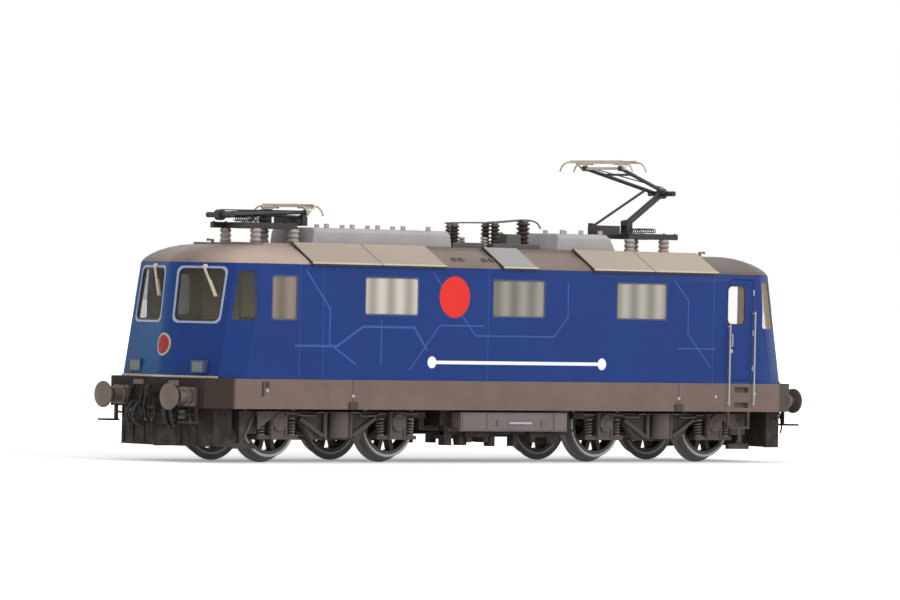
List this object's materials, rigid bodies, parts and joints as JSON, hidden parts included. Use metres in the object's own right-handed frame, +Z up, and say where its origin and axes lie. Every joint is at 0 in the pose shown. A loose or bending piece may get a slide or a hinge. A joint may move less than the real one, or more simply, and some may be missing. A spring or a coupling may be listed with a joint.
{
  "type": "model electric locomotive",
  "caption": "Scale model of an electric locomotive: hollow cab body on swivelling bogies with spoked wheelsets, single-arm pantographs on the roof, buffers and ploughs at the ends",
  "frame": {"origin": "under the middle of the model, at the lowest points of the wheel flanges", "axes": "X along the locomotive with the raised pantograph towards +X, Y across, Z up"},
  "size_m": [0.177, 0.036, 0.0632],
  "materials": {
    "body_blue": "satin",
    "roof_brown": "satin",
    "hatch_beige": "satin",
    "hood_grey": "satin",
    "equipment_grey": "satin",
    "insulator_brown": "gloss",
    "insulator_grey": "gloss",
    "bright_metal": "satin",
    "skirt_grey": "satin",
    "underframe_dark": "matte",
    "cast_metal": "matte",
    "cab_olive": "matte",
    "cab_grey": "matte",
    "seat_dark": "matte",
    "buffer_grey": "satin",
    "hose_black": "matte",
    "rail_white": "satin",
    "light_grey": "satin",
    "lamp_glass": "gloss",
    "frame_silver": "satin",
    "frosted_glass": "gloss",
    "clear_glass": "gloss",
    "box_grey": "satin",
    "lamp_grey": "satin",
    "frame_dull": "satin",
    "wheel_dark": "matte",
    "spring_grey": "satin",
    "bogie_grey": "matte",
    "collector_bronze": "satin",
    "pantograph_dark": "satin"
  },
  "bodies": {
    "body": {"ballast_block": "cast_metal", "battery_box": "box_grey", "body_shell": "body_blue", "brake_hoses": "hose_black", "buffers": "buffer_grey", "cab_bulkheads": "cab_olive", "cab_panes": "clear_glass", "coupling_hooks": "underframe_dark", "driver_desks": "cab_grey", "driver_seats": "seat_dark", "equipment_boxes": "underframe_dark", "floor_plate": "underframe_dark", "frosted_panes": "frosted_glass", "handrails": "rail_white", "headstocks": "underframe_dark", "lamp_housings": "lamp_grey", "lamp_lenses": "lamp_glass", "lifting_lugs": "hood_grey", "pantograph_front_base": "pantograph_dark", "pantograph_insulators": "insulator_grey", "pantograph_rear_base": "pantograph_dark", "ploughs": "underframe_dark", "roof": "roof_brown", "roof_hatches": "hatch_beige", "roof_hoods": "hood_grey", "roof_horns": "roof_brown", "roof_middle_hatches": "hood_grey", "side_window_frames": "frame_dull", "solebars": "skirt_grey", "steps": "underframe_dark", "switch_boxes": "equipment_grey", "switch_insulators": "insulator_brown", "switch_rods": "bright_metal", "windscreen_frames": "frame_silver", "wipers": "light_grey"},
    "bogie_front": {"bogie_front_frame_left": "bogie_grey", "bogie_front_frame_right": "bogie_grey", "bogie_front_gearbox": "bogie_grey", "bogie_front_springs": "spring_grey"},
    "bogie_front_inner_wheelset": {"bogie_front_inner_wheelset_centres": "wheel_dark", "bogie_front_inner_wheelset_tyres": "bright_metal"},
    "bogie_front_outer_wheelset": {"bogie_front_outer_wheelset_centres": "wheel_dark", "bogie_front_outer_wheelset_tyres": "bright_metal"},
    "bogie_rear": {"bogie_rear_frame_left": "bogie_grey", "bogie_rear_frame_right": "bogie_grey", "bogie_rear_gearbox": "bogie_grey", "bogie_rear_springs": "spring_grey"},
    "bogie_rear_inner_wheelset": {"bogie_rear_inner_wheelset_centres": "wheel_dark", "bogie_rear_inner_wheelset_tyres": "bright_metal"},
    "bogie_rear_outer_wheelset": {"bogie_rear_outer_wheelset_centres": "wheel_dark", "bogie_rear_outer_wheelset_tyres": "bright_metal"},
    "pantograph_front_lower_arm": {"pantograph_front_lower_arm": "pantograph_dark"},
    "pantograph_front_upper_arm": {"pantograph_front_upper_arm": "pantograph_dark"},
    "pantograph_front_collector": {"pantograph_front_collector": "collector_bronze"},
    "pantograph_front_guide_rod": {"pantograph_front_guide_rod": "pantograph_dark"},
    "pantograph_rear_lower_arm": {"pantograph_rear_lower_arm": "pantograph_dark"},
    "pantograph_rear_upper_arm": {"pantograph_rear_upper_arm": "pantograph_dark"},
    "pantograph_rear_collector": {"pantograph_rear_collector": "collector_bronze"},
    "pantograph_rear_guide_rod": {"pantograph_rear_guide_rod": "pantograph_dark"}
  },
  "joints": [
    {"name": "bogie_front_swivel", "type": "hinge", "parent": "body", "child": "bogie_front", "pos_m": [-0.0454, 0, 0.01675], "axis": [0, 0, 1], "range_deg": [-8, 8]},
    {"name": "bogie_front_inner_wheelset_roll", "type": "hinge", "parent": "bogie_front", "child": "bogie_front_inner_wheelset", "pos_m": [-0.0293, 0, 0.0082], "axis": [0, 1, 0], "continuous": true},
    {"name": "bogie_front_outer_wheelset_roll", "type": "hinge", "parent": "bogie_front", "child": "bogie_front_outer_wheelset", "pos_m": [-0.0615, 0, 0.0082], "axis": [0, 1, 0], "continuous": true},
    {"name": "bogie_rear_swivel", "type": "hinge", "parent": "body", "child": "bogie_rear", "pos_m": [0.0454, 0, 0.01675], "axis": [0, 0, 1], "range_deg": [-8, 8]},
    {"name": "bogie_rear_inner_wheelset_roll", "type": "hinge", "parent": "bogie_rear", "child": "bogie_rear_inner_wheelset", "pos_m": [0.0293, 0, 0.0082], "axis": [0, 1, 0], "continuous": true},
    {"name": "bogie_rear_outer_wheelset_roll", "type": "hinge", "parent": "bogie_rear", "child": "bogie_rear_outer_wheelset", "pos_m": [0.0615, 0, 0.0082], "axis": [0, 1, 0], "continuous": true},
    {"name": "pantograph_front_lower_arm_raise", "type": "hinge", "parent": "body", "child": "pantograph_front_lower_arm", "pos_m": [-0.0547, 0, 0.05], "axis": [0, 1, 0], "range_deg": [0, 63]},
    {"name": "pantograph_front_upper_arm_follow", "type": "hinge", "parent": "pantograph_front_lower_arm", "child": "pantograph_front_upper_arm", "pos_m": [-0.06688, 0, 0.04936], "axis": [0, -1, 0], "range_deg": [-1, 86.05]},
    {"name": "pantograph_front_collector_follow", "type": "hinge", "parent": "pantograph_front_upper_arm", "child": "pantograph_front_collector", "pos_m": [-0.04871, 0, 0.05031], "axis": [0, 1, 0], "range_deg": [-1, 23.05]},
    {"name": "pantograph_front_guide_rod_follow", "type": "hinge", "parent": "body", "child": "pantograph_front_guide_rod", "pos_m": [-0.0463, 0, 0.0494], "axis": [0, 1, 0], "range_deg": [-1, 48.25]},
    {"name": "pantograph_rear_lower_arm_raise", "type": "hinge", "parent": "body", "child": "pantograph_rear_lower_arm", "pos_m": [0.047, 0, 0.05], "axis": [0, -1, 0], "range_deg": [-36, 27]},
    {"name": "pantograph_rear_upper_arm_follow", "type": "hinge", "parent": "pantograph_rear_lower_arm", "child": "pantograph_rear_upper_arm", "pos_m": [0.05723, 0, 0.05665], "axis": [0, 1, 0], "range_deg": [-49.6, 37.45]},
    {"name": "pantograph_rear_collector_follow", "type": "hinge", "parent": "pantograph_rear_upper_arm", "child": "pantograph_rear_collector", "pos_m": [0.0397, 0, 0.06154], "axis": [0, -1, 0], "range_deg": [-13.6, 10.45]},
    {"name": "pantograph_rear_guide_rod_follow", "type": "hinge", "parent": "body", "child": "pantograph_rear_guide_rod", "pos_m": [0.0386, 0, 0.0494], "axis": [0, -1, 0], "range_deg": [-28, 21.25]}
  ],
  "couplings": [
    {"joint": "pantograph_front_upper_arm_follow", "follows": "pantograph_front_lower_arm_raise", "ratio": 1.35},
    {"joint": "pantograph_front_collector_follow", "follows": "pantograph_front_lower_arm_raise", "ratio": 0.35},
    {"joint": "pantograph_front_guide_rod_follow", "follows": "pantograph_front_lower_arm_raise", "ratio": 0.75},
    {"joint": "pantograph_rear_upper_arm_follow", "follows": "pantograph_rear_lower_arm_raise", "ratio": 1.35},
    {"joint": "pantograph_rear_collector_follow", "follows": "pantograph_rear_lower_arm_raise", "ratio": 0.35},
    {"joint": "pantograph_rear_guide_rod_follow", "follows": "pantograph_rear_lower_arm_raise", "ratio": 0.75}
  ]
}
